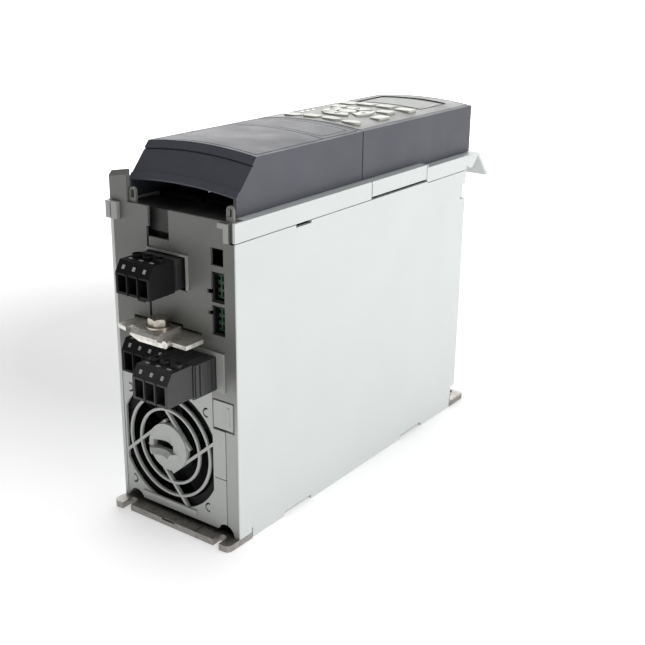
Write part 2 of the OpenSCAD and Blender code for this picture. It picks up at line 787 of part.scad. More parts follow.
module mains_plug() {
    screw_plug(mains, mains_front_y, near_y - 6.2, 3, 11.6, 9, turret_d);
    // release tab under the body
    color(plug_black) block(-1.6, 3, mains_front_y + 1, mains_front_y + 12, mains[2] - 1.6,
                            mains[2] + EPS);
}

module mains_plug_screws() plug_screws(mains, mains_front_y, 3, turret_d);

module brake_socket() socket_shroud([brake[0] + 0.4, brake[1] - 0.4, brake[2] + 0.4, brake[3] - 0.4],
                                    near_y + wall + 0.5, near_y + 16, 10);

module brake_plug()
    screw_plug(brake, brake_front_y, near_y + wall + 0.3, 4, 12.6, 8, brake_turret_d);

module brake_plug_screws() plug_screws(brake, brake_front_y, 4, brake_turret_d);

module motor_socket()
    socket_shroud([motor[0] - 0.3, 31.2, brake[2] - 0.2, 111.4], motor_back_y + 0.2, near_y + 14, 12);

module motor_plug() screw_plug(motor, motor_front_y, motor_back_y, 3, 12.4, 10, turret_d);

module motor_plug_screws() plug_screws(motor, motor_front_y, 3, turret_d);

module relay_sockets() {
    color(plug_black) for (z = relay_z) difference() {
        block(port_x[0] + 0.4, port_x[1] - 0.4, near_y + 1, near_y + 16, z[0] + 0.4, z[1] - 0.4);
        block(port_x[0] + 1.4, port_x[1] - 1, near_y, near_y + 13, z[0] + 1.2, z[1] - 1.2);
    }
}

module relay_plug(z) {
    z_mid = (z[0] + z[1]) / 2;
    color(plug_green) difference() {
        block(port_x[0] + 1.8, port_x[1] - 1.4, near_y + 3.5, near_y + 12.5, z[0] + 1.6, z[1] - 1.6);
        for (i = [-1:1]) {
            translate([(port_x[0] + port_x[1]) / 2 + 1.4, near_y, z_mid + i * 4.2])
                cube([2.6, 14, 2.8], center = true);
            translate([(port_x[0] + port_x[1]) / 2 - 1.8, near_y + 4, z_mid + i * 4.2])
                rotate([90, 0, 0]) cylinder(h = 3, r = 1.1, center = true);
        }
    }
}

module relay_plug_upper() relay_plug(relay_z[0]);

module relay_plug_lower() relay_plug(relay_z[1]);

// ---- ground clamp --------------------------------------------------------

module ground_clamp() {
    bottom_z = clamp_z - clamp_t;
    pad_x = 6.2;
    color(steel) difference() {
        union() {
            translate([0, 0, bottom_z]) linear_extrude(clamp_t) difference() {
                plate2(-28, 25.6, clamp_y, near_y + 5);
                // the left end is cut back to a nose with a notch
                polygon([[-30, clamp_y - 1], [-30, near_y - 13.8], [-20.4, near_y - 16],
                         [-20, near_y - 11], [-15, near_y - 12], [-13.6, clamp_y - 1]]);
                // corners of the right end
                polygon([[26, near_y + 6], [20, near_y + 6], [20, near_y + 0.2],
                         [25.6, near_y - 4.4], [26, near_y - 4.4]]);
            }
            // raised pad under the bolt, which ends in a step
            translate([0, 0, clamp_z - EPS]) linear_extrude(pad_t)
                polygon([[-16, near_y - 0.3], [pad_x, near_y - 0.3], [pad_x, clamp_y + 1.5],
                         [-13, clamp_y + 1.5], [-16, near_y - 11]]);
            // rounded lip that hangs from the pad's front
            intersection() {
                union() {
                    pull_x(-14, pad_x + 14) polygon([
                        [clamp_y + 2, clamp_z + pad_t - 0.1], [clamp_y + 1.2, clamp_z + pad_t - 0.1],
                        [clamp_y - 0.5, clamp_z + 1.1], [clamp_y - 1.5, clamp_z - 0.6],
                        [clamp_y - 1.8, clamp_z - 2.4], [clamp_y - 1.8, clamp_z - 4],
                        [clamp_y + 0.4, clamp_z - 4], [clamp_y + 0.4, bottom_z + 0.2],
                        [clamp_y + 2, bottom_z + 0.2]
                    ]);
                    pull_x(pad_x - EPS, 7.4) polygon([
                        [clamp_y + 0.6, clamp_z - 0.2], [clamp_y - 0.8, clamp_z - 0.2],
                        [clamp_y - 1.8, clamp_z - 1.4], [clamp_y - 1.8, clamp_z - 4],
                        [clamp_y + 0.6, clamp_z - 4]
                    ]);
                }
                pull_y(clamp_y - 5, 10) polygon([
                    [-14, BIG], [-14, clamp_z - 1.6], [-7, clamp_z - 4], [10, clamp_z - 4],
                    [13.5, clamp_z - 2.4], [13.5, BIG]
                ]);
            }
            // rolled end of the lip
            translate([12.6, clamp_y + 0.4, clamp_z - 1.5]) rotate([90, 0, 0]) cylinder(h = 2.8, r = 2.1);
        }
        translate([bolt_x, bolt_y, 0]) cylinder(h = BIG, r = 3.2);
    }
}

module ground_washer() {
    color(steel) translate([bolt_x, bolt_y, clamp_z + pad_t]) difference() {
        cylinder(h = washer_t, r = 7.1);
        translate([0, 0, -1]) cylinder(h = 4, r = 3.2);
    }
}

module ground_bolt() {
    head_h = 4.3;
    head_r = 10.2 / 2 / cos(30);
    color(steel) translate([bolt_x, bolt_y, clamp_z + pad_t + washer_t]) {
        rotate(-10) intersection() {
            cylinder(h = head_h, r = head_r, $fn = 6);
            cylinder(h = head_h, r1 = head_r + 3.6, r2 = head_r - 0.6);
        }
        translate([0, 0, -6.6]) cylinder(h = 6.6 + EPS, r = 3);
    }
}

// ---- fan module ----------------------------------------------------------

module aperture2(r, flat) {
    translate([fan_x, fan_z]) intersection() {
        circle(r, $fn = 96);
        square([2 * flat, 3 * r], center = true);
    }
}

// axis along Y through the fan's centre, z = 0 at the given plane
module on_fan_axis(y) {
    translate([fan_x, y, fan_z]) rotate([90, 0, 0]) children();
}

module guard_ring(r) {
    rotate_extrude($fn = 96) translate([r, 0]) round_rect(1.7, 2, 0.5);
}

module fan_guard() {
    spoke_l = aperture_r + 1;
    grip_x = fan_x - 3.4;
    grip_z = fan_z - 0.2;
    color(guard_grey) difference() {
        union() {
            pull_y(near_y, face_t) difference() {
                union() {
                    plate2(guard_x0, guard_x1, guard_z[0], latch_z[0] - 0.9);
                    plate2(guard_x0, latch_x[0] - 0.2, guard_z[0], guard_z[1]);
                }
                aperture2(aperture_r, 33.6);
                // head room of the mounting screws
                for (sx = [-1, 1]) translate([sx * screw_x, plate_t]) circle(6);
                // crescents around the fan's fixing pins
                for (sx = [-1, 1], sz = [-1, 1])
                    translate([fan_x + sx * fan_pin_d, fan_z + sz * fan_pin_d]) difference() {
                        circle(3);
                        circle(1.9);
                        translate([sx * 3.4, 0]) square([5.4, 8], center = true);
                    }
                // seams of the lower right strip
                plate2(27.6, guard_x1 + 1, 37.9, 38.5);
            }
            on_fan_axis(near_y + 1) {
                for (r = [ring_in_r, ring_out_r]) guard_ring(r);
                // each spoke is a tangent of the hub
                intersection() {
                    for (k = [0:3]) rotate(41 + 90 * k) translate([spoke_l / 2 - 3, -hub_r + 1, 0])
                        cube([spoke_l + 12, 1.7, 2], center = true);
                    translate([-fan_x, -fan_z, -5]) linear_extrude(10)
                        aperture2(aperture_r + EPS, 33.6 + EPS);
                }
                translate([0, 0, -1]) cylinder(h = 3.4, r = hub_r);
            }
            // curved lip of the finger grip
            translate([0, 0, grip_z - 5.4]) linear_extrude(3) intersection() {
                translate([grip_x, near_y + 8]) circle(hub_r);
                plate2(grip_x - hub_r, grip_x + hub_r, near_y - 9, near_y + 0.5);
            }
            // raised bar under the aperture
            pull_y(near_y - 1.4, 1.4 + EPS) plate2(-28.5, 13.5, guard_z[0] + 3.6, guard_z[0] + 6);
            // spacers that carry the fan, and pins that enter its fixing holes
            for (sx = [-1, 1], sz = [-1, 1]) {
                translate([fan_x + sx * 33.2, near_y + wall + 0.5, fan_z + sz * 25]) rotate([90, 0, 0])
                    cylinder(h = wall + 0.7 - face_t, r = 1.2);
                translate([fan_x + sx * fan_pin_d, near_y + wall + 6, fan_z + sz * fan_pin_d])
                    rotate([90, 0, 0]) cylinder(h = wall + 6.2 - face_t, r = fan_pin_r);
            }
        }
        // slot above the lip, and the scoop above the slot
        translate([grip_x, near_y, grip_z]) cube([15.6, 8, 4.8], center = true);
        translate([grip_x, near_y - 11.4, grip_z + 3]) sphere(r = 12, $fn = 64);
    }
}

module fan_latch() {
    color(guard_grey) union() {
        pull_y(near_y - 0.3, 1.4)
            plate2(hinge_x, latch_x[1] - 0.3, latch_z[0] + 0.9, latch_z[1] - 0.3);
        // barrel of the hinge
        translate([hinge_x, near_y + 0.8, latch_z[0] + 0.9])
            cylinder(h = latch_z[1] - latch_z[0] - 1.2, r = 0.9);
        // hook behind the face
        pull_y(near_y + 1, 4) plate2(latch_x[0] + 2.4, latch_x[0] + 4.4, latch_z[0] + 3,
                                     latch_z[1] - 3);
        // finger rib
        pull_y(near_y - 1, 0.8) plate2(latch_x[1] - 4, latch_x[1] - 2.8, latch_z[0] + 3,
                                       latch_z[1] - 3);
    }
}

module fan_frame() {
    y0 = near_y + wall + 0.5;
    color(plug_black) difference() {
        on_fan_axis(y0 + fan_d) linear_extrude(fan_d) round_rect(fan_w, fan_w, 4);
        on_fan_axis(y0 + fan_d - 3) cylinder(h = fan_d, r = 32.6, $fn = 96);
        // outlet between the struts of the motor mount
        on_fan_axis(y0 + fan_d + 1) difference() {
            cylinder(h = 6, r = 32.6, $fn = 96);
            cylinder(h = 6, r = 14);
            for (k = [0:2]) rotate(k * 120 + 90) translate([20, 0, 3])
                cube([40, 4, 8], center = true);
        }
        // bearing and fixing holes
        on_fan_axis(y0 + fan_d + 1) cylinder(h = 8, r = shaft_r + 0.05);
        for (sx = [-1, 1], sz = [-1, 1])
            translate([fan_x + sx * fan_pin_d, y0 + 10, fan_z + sz * fan_pin_d]) rotate([90, 0, 0])
                cylinder(h = 40, r = fan_pin_r + 0.1, center = true);
    }
}

module fan_rotor() {
    color([0.14, 0.14, 0.15]) on_fan_axis(rotor_y0 + rotor_d) difference() {
        union() {
            cylinder(h = rotor_d, r = 15.5);
            intersection() {
                for (k = [0:blade_n - 1]) rotate(k * 360 / blade_n) translate([22, 0, rotor_d / 2])
                    rotate([52, 0, 0]) cube([20, 1.8, 19], center = true);
                cylinder(h = rotor_d, r = 31.4, $fn = 96);
            }
        }
        translate([0, 0, -1]) cylinder(h = 3, r = 13);
        cylinder(h = 8, r = shaft_r);
    }
}

module fan_shaft() {
    color(steel) on_fan_axis(near_y + wall + 0.5 + fan_d - 0.6)
        cylinder(h = near_y + wall + fan_d - 0.1 - (rotor_y0 + rotor_d - 7.9), r = shaft_r);
}

// ---- assembly ------------------------------------------------------------

base_plate();
heat_sink();
right_side_cover();
left_side_cover();
end_panel();
far_end_panel();
far_panel_screws();
front_frame();
frame_clips();
exhaust_hood();
terminal_cover();
panel_cradle();
control_panel();
display_window();
display_module();
panel_board();
status_leds();
for (name = KEY_NAMES) key(name);
control_deck();
control_card();
control_terminals();
power_board();
power_module();
dc_capacitors();
filter_choke();
mains_socket();
mains_plug();
mains_plug_screws();
brake_socket();
brake_plug();
brake_plug_screws();
motor_socket();
motor_plug();
motor_plug_screws();
relay_sockets();
relay_plug_upper();
relay_plug_lower();
ground_clamp();
ground_bolt();
ground_washer();
fan_guard();
fan_latch();
fan_frame();
fan_rotor();
fan_shaft();
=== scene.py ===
"""Looks, light and camera for a book-style drive that lies on its mounting plate.

All lengths are in metres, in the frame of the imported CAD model.
"""
import math

import bmesh
import bpy
from mathutils import Matrix, Vector


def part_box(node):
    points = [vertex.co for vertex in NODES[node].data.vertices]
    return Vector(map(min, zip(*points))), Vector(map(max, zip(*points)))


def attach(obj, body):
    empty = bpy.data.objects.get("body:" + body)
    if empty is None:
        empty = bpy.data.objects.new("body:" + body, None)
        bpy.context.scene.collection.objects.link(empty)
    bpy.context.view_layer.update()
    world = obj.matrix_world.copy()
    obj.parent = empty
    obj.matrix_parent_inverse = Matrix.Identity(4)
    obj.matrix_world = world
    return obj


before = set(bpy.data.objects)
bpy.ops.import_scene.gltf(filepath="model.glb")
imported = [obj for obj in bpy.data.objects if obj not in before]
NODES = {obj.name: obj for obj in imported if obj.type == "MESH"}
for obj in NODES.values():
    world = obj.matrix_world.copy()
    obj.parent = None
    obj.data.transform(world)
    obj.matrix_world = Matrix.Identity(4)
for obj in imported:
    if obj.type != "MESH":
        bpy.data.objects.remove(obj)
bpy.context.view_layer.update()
MM = 0.001
NEAR_Y = -124.0     # face of the terminal end, in millimetres

# ---- camera --------------------------------------------------------------------------------------

CAMERA_AT = Vector((381.9, -517.8, 322.4)) * MM
CAMERA_YAW = math.radians(35.613)
CAMERA_PITCH = math.radians(20.021)
CAMERA_ROLL = math.radians(0.755)
CAMERA_LENS = 59.25


def make_camera():
    data = bpy.data.cameras.new("camera")
    data.sensor_width = 36.0
    data.lens = CAMERA_LENS
    data.clip_start = 0.01
    data.clip_end = 60.0
    camera = bpy.data.objects.new("camera", data)
    bpy.context.scene.collection.objects.link(camera)
    flat = math.cos(CAMERA_PITCH)
    forward = Vector((-math.sin(CAMERA_YAW) * flat, math.cos(CAMERA_YAW) * flat, -math.sin(CAMERA_PITCH)))
    level = Vector((math.cos(CAMERA_YAW), math.sin(CAMERA_YAW), 0.0))
    upright = level.cross(forward)
    right = math.cos(CAMERA_ROLL) * level + math.sin(CAMERA_ROLL) * upright
    up = math.cos(CAMERA_ROLL) * upright - math.sin(CAMERA_ROLL) * level
    turn = Matrix((right, up, -forward)).transposed().to_4x4()
    camera.matrix_world = Matrix.Translation(CAMERA_AT) @ turn
    bpy.context.scene.camera = camera


make_camera()
bpy.context.scene.view_settings.view_transform = "Standard"

# ---- material helpers ----------------------------------------------------------------------------


class Nodes:
    """A material's node tree, with a short way to add a node and its links."""

    def __init__(self, name):
        self.material = bpy.data.materials.new(name)
        self.material.use_nodes = True
        self.tree = self.material.node_tree
        self.tree.nodes.clear()
        self.coords = self.add("ShaderNodeTexCoord").outputs["Object"]

    def add(self, kind, inputs=None, **settings):
        node = self.tree.nodes.new(kind)
        for key, value in settings.items():
            setattr(node, key, value)
        for key, value in (inputs or {}).items():
            self.put(node.inputs[key], value)
        return node

    def put(self, socket, value):
        if isinstance(value, bpy.types.NodeSocket):
            self.tree.links.new(value, socket)
        else:
            socket.default_value = value

    def noise(self, size, detail=3.0, rough=0.55, stretch=(1, 1, 1), distortion=0.0):
        """Noise whose features are about size metres across."""
        mapped = self.add("ShaderNodeMapping", {"Vector": self.coords, "Scale": stretch})
        node = self.add(
            "ShaderNodeTexNoise",
            {"Vector": mapped.outputs[0], "Scale": 1.0 / size, "Detail": detail, "Roughness": rough,
             "Distortion": distortion},
        )
        return node.outputs["Fac"]

    def remap(self, value, lo, hi, to_lo=0.0, to_hi=1.0):
        node = self.add(
            "ShaderNodeMapRange",
            {"Value": value, "From Min": lo, "From Max": hi, "To Min": to_lo, "To Max": to_hi},
        )
        return node.outputs[0]

    def mix(self, factor, first, second):
        node = self.add("ShaderNodeMix", data_type="RGBA")
        self.put(node.inputs[0], factor)
        self.put(node.inputs[6], first)
        self.put(node.inputs[7], second)
        return node.outputs[2]

    def math(self, operation, first, second):
        node = self.add("ShaderNodeMath", operation=operation)
        self.put(node.inputs[0], first)
        self.put(node.inputs[1], second)
        return node.outputs[0]

    def bump(self, height, distance, strength=1.0, below=None):
        inputs = {"Height": height, "Distance": distance, "Strength": strength}
        if below is not None:
            inputs["Normal"] = below
        return self.add("ShaderNodeBump", inputs).outputs[0]

    def finish(self, **values):
        shader = self.add("ShaderNodeBsdfPrincipled")
        for key, value in values.items():
            self.put(shader.inputs[key.replace("_", " ")], value)
        out = self.add("ShaderNodeOutputMaterial")
        self.tree.links.new(shader.outputs[0], out.inputs[0])
        return self.material


def shade(color, k):
    return (color[0] * k, color[1] * k, color[2] * k, 1.0)


DUST = (0.55, 0.53, 0.50, 1.0)
PAINTED_BOUNCE_LOW = 0.068        # heights between which the painted floor-bounce light on the lower near face fades out
PAINTED_BOUNCE_HIGH = 0.105
RIM_BACK = 0.0004       # distances in front of the near face between which the own lighter colour of the raised rims rises from nothing to its share
RIM_FRONT = 0.0008      # raised rims rises from nothing to its share
RIM_SHARE = 0.65


def plastic(name, color, rough, blotch, grain, depth, dust=0.0, gloss=0.5, painted_bounce_and_rim=None):
    """Moulded plastic with a spark-eroded grain, slow colour drift and faint dust.

    The optional lighter colour is painted floor-bounce light on the lower end of the drive's near face, and
    also the own lighter colour of its raised rims.
    """
    n = Nodes(name)
    slow = n.noise(0.05, 3.0)
    cast = n.mix(n.remap(slow, 0.3, 0.7), shade(color, 1 - blotch), shade(color, 1 + blotch))
    if painted_bounce_and_rim is not None:
        place = n.add("ShaderNodeSeparateXYZ", {"Vector": n.coords}).outputs
        # painted light: the lower near face is lightened as painted floor-bounce light; the raised rims get
        # their own lighter colour
        low = n.remap(place["Z"], PAINTED_BOUNCE_LOW, PAINTED_BOUNCE_HIGH, 1.0, 0.0)
        face = NEAR_Y * MM
        raised = n.remap(place["Y"], face - RIM_FRONT, face - RIM_BACK, RIM_SHARE, 0.0)
        cast = n.mix(n.math("MAXIMUM", low, raised), cast, painted_bounce_and_rim + (1.0,))
    fine = n.noise(grain, 2.0, 0.6)
    speckle = n.remap(fine, 0.35, 0.65, 1 - blotch * 0.6, 1 + blotch * 0.6)
    cast = n.mix(n.math("MULTIPLY", n.math("SUBTRACT", 1.0, speckle), 2.0), cast, shade(color, 0.9))
    if dust:
        film = n.noise(0.012, 5.0, 0.65)
        up = n.add("ShaderNodeSeparateXYZ", {"Vector": n.add("ShaderNodeNewGeometry").outputs["Normal"]})
        settle = n.remap(up.outputs["Z"], 0.2, 1.0, 0.25, 1.0)
        amount = n.math("MULTIPLY", n.remap(film, 0.45, 0.8, 0.0, dust), settle)
        cast = n.mix(amount, cast, DUST)
    wear = n.noise(0.02, 4.0, 0.6)
    roughness = n.remap(wear, 0.3, 0.7, rough - 0.05, rough + 0.06)
    normal = n.bump(fine, depth)
    normal = n.bump(n.noise(0.03, 1.0), 0.00025, 0.25, normal)
    return n.finish(Base_Color=cast, Roughness=roughness, Normal=normal, Specular_IOR_Level=gloss)


def metal(name, color, rough, stain=None, stain_amount=0.5, along=(1, 1, 1), pits=0.0):
    """Metal with a rolled grain along one axis, uneven oxide and optional stains."""
    n = Nodes(name)
    rolled = n.noise(0.0008, 3.0, 0.6, stretch=along)
    oxide = n.noise(0.008, 5.0, 0.65)
    cast = n.mix(n.remap(rolled, 0.3, 0.7), shade(color, 0.82), shade(color, 1.08))
    cast = n.mix(n.remap(oxide, 0.45, 0.75, 0.0, 0.45), cast, shade(color, 0.6))
    if stain is not None:
        patch = n.noise(0.006, 6.0, 0.7, distortion=1.2)
        cast = n.mix(n.remap(patch, 0.5, 0.66, 0.0, stain_amount), cast, stain + (1.0,))
    roughness = n.remap(n.noise(0.004, 4.0, 0.6), 0.3, 0.7, rough - 0.08, rough + 0.14)
    normal = n.bump(rolled, 0.00002)
    if pits:
        normal = n.bump(n.noise(0.0025, 4.0, 0.7), pits, 0.8, normal)
    return n.finish(Base_Color=cast, Metallic=1.0, Roughness=roughness, Normal=normal)


LIGHT_GREY = (0.605, 0.63, 0.624)
MATERIALS = {
    "light": plastic("light_grey_plastic", LIGHT_GREY, 0.42, 0.015, 0.0006, 0.000015),
    # the lighter colour below is painted floor-bounce light low on the near face and the rims' own lighter
    # colour
    "end": plastic("end_face_plastic", (0.155, 0.158, 0.146), 0.46, 0.04, 0.0005, 0.00002, dust=0.10,
                   painted_bounce_and_rim=(0.46, 0.475, 0.455)),
    "guard": plastic("fan_guard_plastic", (0.51, 0.525, 0.505), 0.45, 0.04, 0.0005, 0.00002, dust=0.06),
    "cover": plastic("dark_cover_plastic", (0.060, 0.064, 0.080), 0.50, 0.06, 0.0005, 0.00004, dust=0.03),
    "panel": plastic("panel_plastic", (0.20, 0.205, 0.195), 0.45, 0.04, 0.0004, 0.00003),
    "key": plastic("key_cap_plastic", (0.70, 0.70, 0.64), 0.42, 0.03, 0.0005, 0.00001),
    "black": plastic("black_plastic", (0.016, 0.016, 0.018), 0.42, 0.10, 0.0006, 0.00003, dust=0.06),
    "ink": plastic("jet_black_plastic", (0.006, 0.0058, 0.007), 0.5, 0.10, 0.0006, 0.00003, dust=0.02,
                   gloss=0.18),
    "socket": plastic("socket_plastic", (0.030, 0.030, 0.032), 0.40, 0.08, 0.0005, 0.00002, dust=0.05),
    # green terminal plastic, darkened beyond its own colour as painted shade of the deep ports
    "green": plastic("shade_darkened_green_terminal_plastic", (0.010, 0.062, 0.024), 0.40, 0.08, 0.0005, 0.00002),
    "sleeve": plastic("capacitor_sleeve", (0.02, 0.03, 0.07), 0.30, 0.05, 0.0005, 0.00001),
    "deck": plastic("deck_plastic", (0.025, 0.025, 0.026), 0.45, 0.08, 0.0006, 0.00003, dust=0.04),
    "alu": metal("plate_aluminium", (0.37, 0.355, 0.34), 0.42, (0.16, 0.12, 0.09), 0.45,
                 along=(1, 0.15, 1), pits=0.00004),
    "sink": metal("heat_sink_aluminium", (0.60, 0.60, 0.60), 0.38, along=(1, 0.1, 1)),
    "steel": metal("zinc_steel", (0.88, 0.86, 0.81), 0.42, (0.24, 0.16, 0.10), 0.35, pits=0.00005),
    "bolt": metal("bolt_steel", (0.58, 0.54, 0.47), 0.28, (0.22, 0.15, 0.09), 0.35, pits=0.00003),
    "copper": metal("copper_winding", (0.70, 0.33, 0.14), 0.3),
}


def circuit_board():
    n = Nodes("circuit_board")
    cells = n.add("ShaderNodeTexVoronoi", {"Vector": n.coords, "Scale": 400.0}, distance="CHEBYCHEV")
    tracks = n.remap(cells.outputs["Distance"], 0.30, 0.34)
    cast = n.mix(tracks, (0.008, 0.055, 0.022, 1.0), (0.015, 0.10, 0.04, 1.0))
    pads = n.add("ShaderNodeTexVoronoi", {"Vector": n.coords, "Scale": 260.0})
    pad = n.remap(pads.outputs["Distance"], 0.10, 0.14, 1.0, 0.0)
    cast = n.mix(pad, cast, (0.50, 0.46, 0.36, 1.0))
    return n.finish(Base_Color=cast, Roughness=n.remap(pad, 0.0, 1.0, 0.32, 0.4),
                    Metallic=n.math("MULTIPLY", pad, 0.8), Normal=n.bump(tracks, 0.00004))


def display_glass():
    n = Nodes("display_window")
    haze = n.noise(0.02, 4.0)
    cast = n.mix(n.remap(haze, 0.3, 0.7), (0.36, 0.375, 0.35, 1.0), (0.42, 0.435, 0.41, 1.0))
    scuff = n.noise(0.0012, 2.0, 0.6, stretch=(1, 0.2, 1))
    return n.finish(Base_Color=cast, Roughness=n.remap(scuff, 0.4, 0.7, 0.45, 0.55), Specular_IOR_Level=0.3,
                    Normal=n.bump(scuff, 0.000004))


def lamp_lens():
    n = Nodes("status_lamp")
    cloudy = n.noise(0.001, 2.0)
    cast = n.mix(cloudy, (0.55, 0.45, 0.12, 1.0), (0.75, 0.66, 0.25, 1.0))
    return n.finish(Base_Color=cast, Roughness=0.25, Coat_Weight=0.5)


MATERIALS["board"] = circuit_board()
MATERIALS["window"] = display_glass()
MATERIALS["lamp"] = lamp_lens()

KEYS = [name for name in NODES if name.endswith("_key") or "_key_" in name]
LOOKS = {
    "light": ["right_side_cover", "left_side_cover", "far_end_panel", "front_frame", "frame_clips",
              "exhaust_hood"],
    "end": ["end_panel"],
    "guard": ["fan_guard", "fan_latch"],
    "cover": ["terminal_cover", "panel_cradle"],
    "panel": ["control_panel"],
    "key": KEYS,
    "window": ["display_window"],
    "lamp": ["status_leds"],
    "board": ["panel_board", "control_card", "power_board"],
    "ink": ["mains_plug", "brake_plug", "fan_frame", "fan_rotor", "relay_sockets", "control_terminals"],
    "black": ["motor_plug", "power_module", "display_module"],
    "socket": ["mains_socket", "brake_socket", "motor_socket"],
    "deck": ["control_deck"],
    # the relay plugs' green carries painted shade of their deep ports
    "green": ["relay_plug_upper", "relay_plug_lower"],
    "sleeve": ["dc_capacitors"],
    "copper": ["filter_choke"],
    "alu": ["base_plate"],
    "sink": ["heat_sink"],
    "steel": ["ground_clamp"],
    "bolt": ["ground_bolt", "ground_washer", "far_panel_screws", "mains_plug_screws",
             "brake_plug_screws", "motor_plug_screws", "fan_shaft"],
}

# Width of the small rounding on the edges of each look, in metres.
EDGE = {"light": 0.0004, "end": 0.0003, "guard": 0.0003, "cover": 0.0007, "panel": 0.0003,
        "key": 0.0005, "black": 0.00025, "ink": 0.00025, "socket": 0.00025, "alu": 0.0004, "steel": 0.0003,
        "bolt": 0.0003, "deck": 0.0003}

FLAT_ANGLE = math.radians(1.0)      # faces closer than this are merged
EDGE_ANGLE = math.radians(35.0)     # edges sharper than this are rounded
SHARP_ANGLE = math.radians(30.0)    # edges sharper than this break the shading
DETAIL_SHARP_ANGLE = math.radians(40.0)


def soften(piece, width):
    """Rounds the sharp edges of a piece with modifiers."""
    flat = piece.modifiers.new("flatten", "DECIMATE")
    flat.decimate_type = "DISSOLVE"
    flat.angle_limit = FLAT_ANGLE
    bevel = piece.modifiers.new("edges", "BEVEL")
    bevel.width = width
    bevel.segments = 2
    bevel.limit_method = "ANGLE"
    bevel.angle_limit = EDGE_ANGLE
    bevel.harden_normals = True
    bevel.use_clamp_overlap = True


for look, names in LOOKS.items():
    for name in names:
        piece = NODES[name]
        piece.data.materials.clear()
        piece.data.materials.append(MATERIALS[look])
        piece.data.polygons.foreach_set("use_smooth", [True] * len(piece.data.polygons))
        piece.data.set_sharp_from_angle(angle=SHARP_ANGLE)
        if look in EDGE:
            soften(piece, EDGE[look])

# ---- detail pieces -------------------------------------------------------------------------------


class Shape:
    """Collects small rounded solids, given in millimetres, into one piece."""

    def __init__(self):
        self.mesh = bmesh.new()

    def block(self, centre, size, tilt=0.0, rounding=0.15):
        """A rounded box, tilted in degrees about X."""
        turn = Matrix.Rotation(math.radians(tilt), 4, "X")
        place = Matrix.Translation(Vector(centre)) @ turn @ Matrix.Diagonal((*size, 1.0))
        made = bmesh.ops.create_cube(self.mesh, size=1.0, matrix=place)["verts"]
        edges = {edge for vert in made for edge in vert.link_edges}
        bmesh.ops.bevel(self.mesh, geom=list(edges), offset=rounding, segments=2, affect="EDGES",
                        clamp_overlap=True)

    def disc(self, centre, radius, height, sides):
        """A disc that faces the terminal end, with its middle at centre."""
        turn = Vector((0, -1, 0)).to_track_quat("Z", "Y").to_matrix().to_4x4()
        made = bmesh.ops.create_cone(
            self.mesh, cap_ends=True, segments=sides, radius1=radius, radius2=radius, depth=height,
            matrix=Matrix.Translation(Vector(centre)) @ turn,
        )["verts"]
        rims = {e for v in made for e in v.link_edges if any(len(f.verts) > 4 for f in e.link_faces)}
        bmesh.ops.bevel(self.mesh, geom=list(rims), offset=0.12, segments=2, affect="EDGES",
                        clamp_overlap=True)

    def prism(self, outline, low, high, rounding):
        """A plan outline in X and Y, pulled from low to high along Z."""
        floor = [self.mesh.verts.new((x, y, low)) for x, y in outline]
        roof = [self.mesh.verts.new((x, y, high)) for x, y in outline]
        count = len(outline)
        self.mesh.faces.new(list(reversed(floor)))
        self.mesh.faces.new(roof)
        for i in range(count):
            j = (i + 1) % count
            self.mesh.faces.new((floor[i], floor[j], roof[j], roof[i]))
        edges = {e for v in roof for e in v.link_edges}
        bmesh.ops.bevel(self.mesh, geom=list(edges), offset=rounding, segments=2, affect="EDGES",
                        clamp_overlap=True)

    def loop(self, path, radius, sides):
        """A round bar along a closed path of points."""
        rings = []
        points = [Vector(p) for p in path]
        count = len(points)
        for i, point in enumerate(points):
            turn = (points[(i + 1) % count] - points[i - 1]).to_track_quat("Z", "Y")
            ring = []
            for k in range(sides):
                a = 2 * math.pi * k / sides
                spoke = turn @ Vector((radius * math.cos(a), radius * math.sin(a), 0))
                ring.append(self.mesh.verts.new(point + spoke))
            rings.append(ring)
        for i in range(count):
            low, high = rings[i], rings[(i + 1) % count]
            for k in range(sides):
                m = (k + 1) % sides
                self.mesh.faces.new((low[k], low[m], high[m], high[k]))

    def finish(self, name, look, body, slot):
        bmesh.ops.recalc_face_normals(self.mesh, faces=self.mesh.faces)
        bmesh.ops.scale(self.mesh, vec=(MM, MM, MM), verts=self.mesh.verts)
        mesh = bpy.data.meshes.new(name)
        self.mesh.to_mesh(mesh)
        self.mesh.free()
        mesh.polygons.foreach_set("use_smooth", [True] * len(mesh.polygons))
        mesh.set_sharp_from_angle(angle=DETAIL_SHARP_ANGLE)
        mesh.materials.append(MATERIALS[look])
        piece = bpy.data.objects.new(name, mesh)
        bpy.context.scene.collection.objects.link(piece)
        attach(piece, body)


POLE_PITCH = 7.62
RAKE = 3.8
# x0, x1, z0, z1, front y, height of the upright front, poles, front to tiles, body
PLUGS = {
    "mains": (-16.5, 8.0, 143.8, 161.7, NEAR_Y - 25, 11.6, 3, 8.0, "mains_connector"),
    "motor": (5.8, 30.6, 93.8, 112.2, NEAR_Y - 38, 12.4, 3, 7.6, "motor_connector"),
    "brake": (-28.0, 5.2, 92.6, 111.4, NEAR_Y - 13, 12.6, 4, 4.9, "brake_connector"),
}
NAME_TILE = (2.0, 0.5, 2.4)
NUMBER_TILE = (2.5, 1.5, 0.24)
CLAMP_WIDTH = 4.6
CLAMP_DEPTH = 0.8
CLAMP_SCREW_R = 1.5
SCREW_HEIGHT = 0.5


